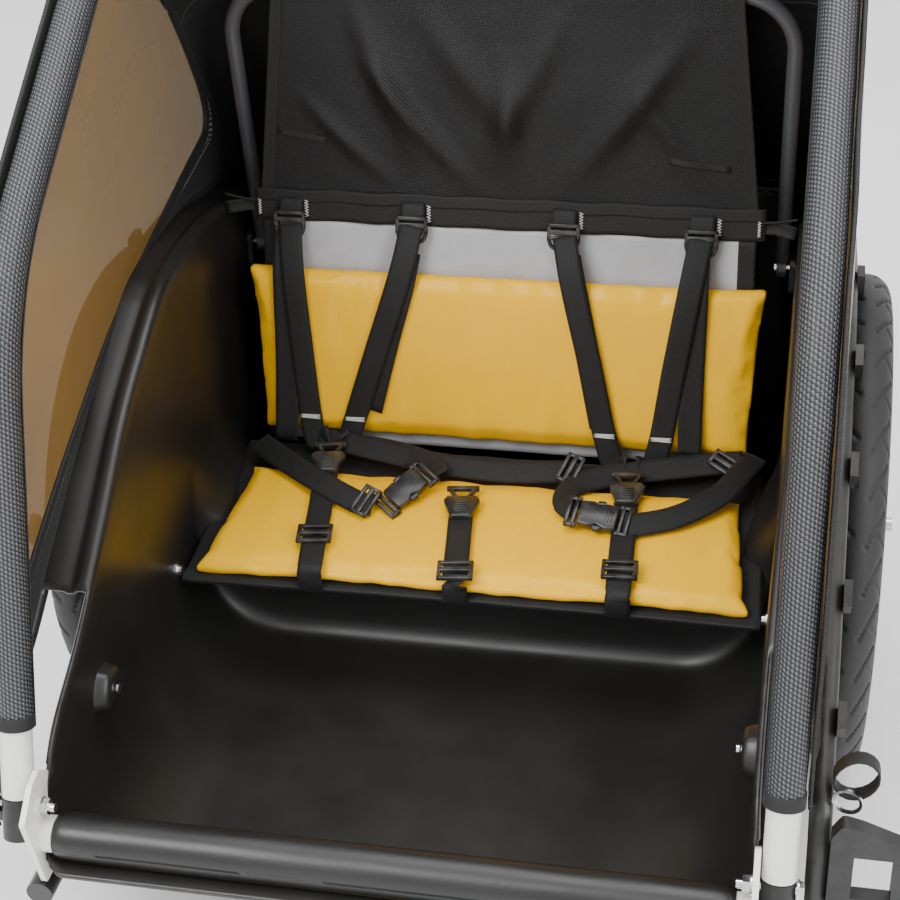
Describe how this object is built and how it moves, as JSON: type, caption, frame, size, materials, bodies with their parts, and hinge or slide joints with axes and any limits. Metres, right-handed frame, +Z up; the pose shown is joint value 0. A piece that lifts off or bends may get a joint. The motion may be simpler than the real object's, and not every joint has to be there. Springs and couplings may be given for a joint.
{
  "type": "child bicycle trailer",
  "caption": "Child bicycle trailer with a moulded tub, folding hoops, padded seat, harnesses, fabric cover, spoked wheels and a side tow bar.",
  "frame": {"origin": "on the ground, under the middle of the whole trailer's box", "axes": "+Z up, -Y towards the bicycle, +X towards the trailer's own left side"},
  "size_m": [0.8364, 1.486, 0.944],
  "materials": {
    "tub_plastic": "fine-grained satin black moulding",
    "black_plastic": "satin black moulding",
    "clear_reflector": "clear prismatic lens",
    "red_reflector": "red prismatic lens",
    "black_steel": "satin black powder coat",
    "white_tube": "off-white powder coat",
    "foam": "dense black foam tube with a smooth skin",
    "sleeve_mesh": "shiny grey and black woven mesh",
    "zinc": "bright zinc",
    "grey_tube": "dark grey powder coat",
    "yellow_vinyl": "glossy yellow coated fabric",
    "yellow_cloth": "yellow coated polyester",
    "black_cloth": "black coated polyester",
    "grey_cloth": "light grey woven polyester",
    "black_mesh": "open black mesh",
    "webbing": "black polypropylene webbing",
    "amber_film": "clear amber-brown film",
    "buckle_plastic": "satin black acetal",
    "tyre": "slick road tread with curved sipes",
    "alloy": "anodised",
    "bright_steel": "brushed",
    "rubber": "moulded rubber"
  },
  "bodies": {
    "chassis": {"axle_beam": "black_steel", "axle_holders": "black_steel", "axle_pins": "bright_steel", "back_band": "webbing", "back_cushion": "yellow_vinyl", "back_panel": "grey_cloth", "band_end_straps": "webbing", "corner_plates": "white_tube", "cover_back": "yellow_cloth", "crotch_straps": "webbing", "flag_holder": "black_plastic", "front_reflectors": "clear_reflector", "front_tube": "white_tube", "front_tube_foam": "foam", "hand_loop": "webbing", "harness_tongues": "buckle_plastic", "hinge_bolts": "zinc", "lap_belts": "webbing", "mesh_back": "black_mesh", "pull_ring": "zinc", "rear_hoop_holders": "black_plastic", "rear_hoop_rivets": "zinc", "rear_reflectors": "red_reflector", "rim_clips": "black_plastic", "seat_cushion": "yellow_vinyl", "seat_sling": "black_cloth", "shoulder_straps_left": "webbing", "shoulder_straps_right": "webbing", "side_cover_left": "yellow_cloth", "side_cover_right": "yellow_cloth", "side_rails": "black_steel", "side_release_buckles": "buckle_plastic", "side_window_left": "amber_film", "side_window_right": "amber_film", "strap_rings": "buckle_plastic", "strap_slides": "buckle_plastic", "tow_bar_bracket": "black_steel", "tow_bar_pin": "bright_steel", "tub": "tub_plastic", "tub_screws": "zinc", "wall_tabs": "tub_plastic", "wheel_guards": "black_plastic"},
    "wheel_left": {"tyre_left": "tyre", "wheel_rim_left": "alloy", "hub_left": "alloy"},
    "wheel_right": {"tyre_right": "tyre", "wheel_rim_right": "alloy", "hub_right": "alloy"},
    "button_left": {"axle_button_left": "bright_steel"},
    "button_right": {"axle_button_right": "bright_steel"},
    "front_hoop_frame": {"front_hoop": "white_tube", "hoop_sleeves": "sleeve_mesh", "hoop_feet": "black_plastic", "front_cover_roll": "black_cloth"},
    "rear_hoop_frame": {"rear_hoop": "grey_tube"},
    "tow_arm": {"tow_bar": "black_steel", "tow_bar_flex": "rubber"},
    "hitch": {"hitch_eye": "bright_steel"},
    "knob": {"tow_bar_knob": "black_plastic"}
  },
  "joints": [
    {"name": "wheel_left_spin", "type": "hinge", "parent": "chassis", "child": "wheel_left", "pos_m": [0.371, 0.393, 0.25], "axis": [1, 0, 0], "continuous": true},
    {"name": "wheel_right_spin", "type": "hinge", "parent": "chassis", "child": "wheel_right", "pos_m": [-0.371, 0.393, 0.25], "axis": [1, 0, 0], "continuous": true},
    {"name": "axle_button_left_press", "type": "slide", "parent": "chassis", "child": "button_left", "axis": [-1, 0, 0], "range_m": [0, 0.003], "stiffness_N_per_m": 900},
    {"name": "axle_button_right_press", "type": "slide", "parent": "chassis", "child": "button_right", "axis": [1, 0, 0], "range_m": [0, 0.003], "stiffness_N_per_m": 900},
    {"name": "front_hoop_fold", "type": "hinge", "parent": "chassis", "child": "front_hoop_frame", "pos_m": [0, -0.11, 0.232], "axis": [-1, 0, 0], "range_deg": [0, 30], "deforming": ["cover_back", "side_cover_left", "side_cover_right", "side_window_left", "side_window_right"]},
    {"name": "rear_hoop_fold", "type": "hinge", "parent": "chassis", "child": "rear_hoop_frame", "pos_m": [0, 0.6, 0.43], "axis": [1, 0, 0], "range_deg": [0, 78], "deforming": ["mesh_back", "band_end_straps"]},
    {"name": "tow_bar_swing", "type": "hinge", "parent": "chassis", "child": "tow_arm", "pos_m": [0.308, -0.2, 0.146], "axis": [0, 0, 1], "range_deg": [-90, 0]},
    {"name": "hitch_turn", "type": "hinge", "parent": "tow_arm", "child": "hitch", "pos_m": [0.278, -0.703, 0.33], "axis": [0, 1, 0], "range_deg": [-45, 45]},
    {"name": "tow_bar_knob_turn", "type": "hinge", "parent": "chassis", "child": "knob", "pos_m": [0.308, -0.2, 0.17], "axis": [0, 0, 1], "range_deg": [0, 360]}
  ],
  "couplings": [
    {"joint": "rear_hoop_fold", "follows": "front_hoop_fold", "ratio": 2.6}
  ]
}
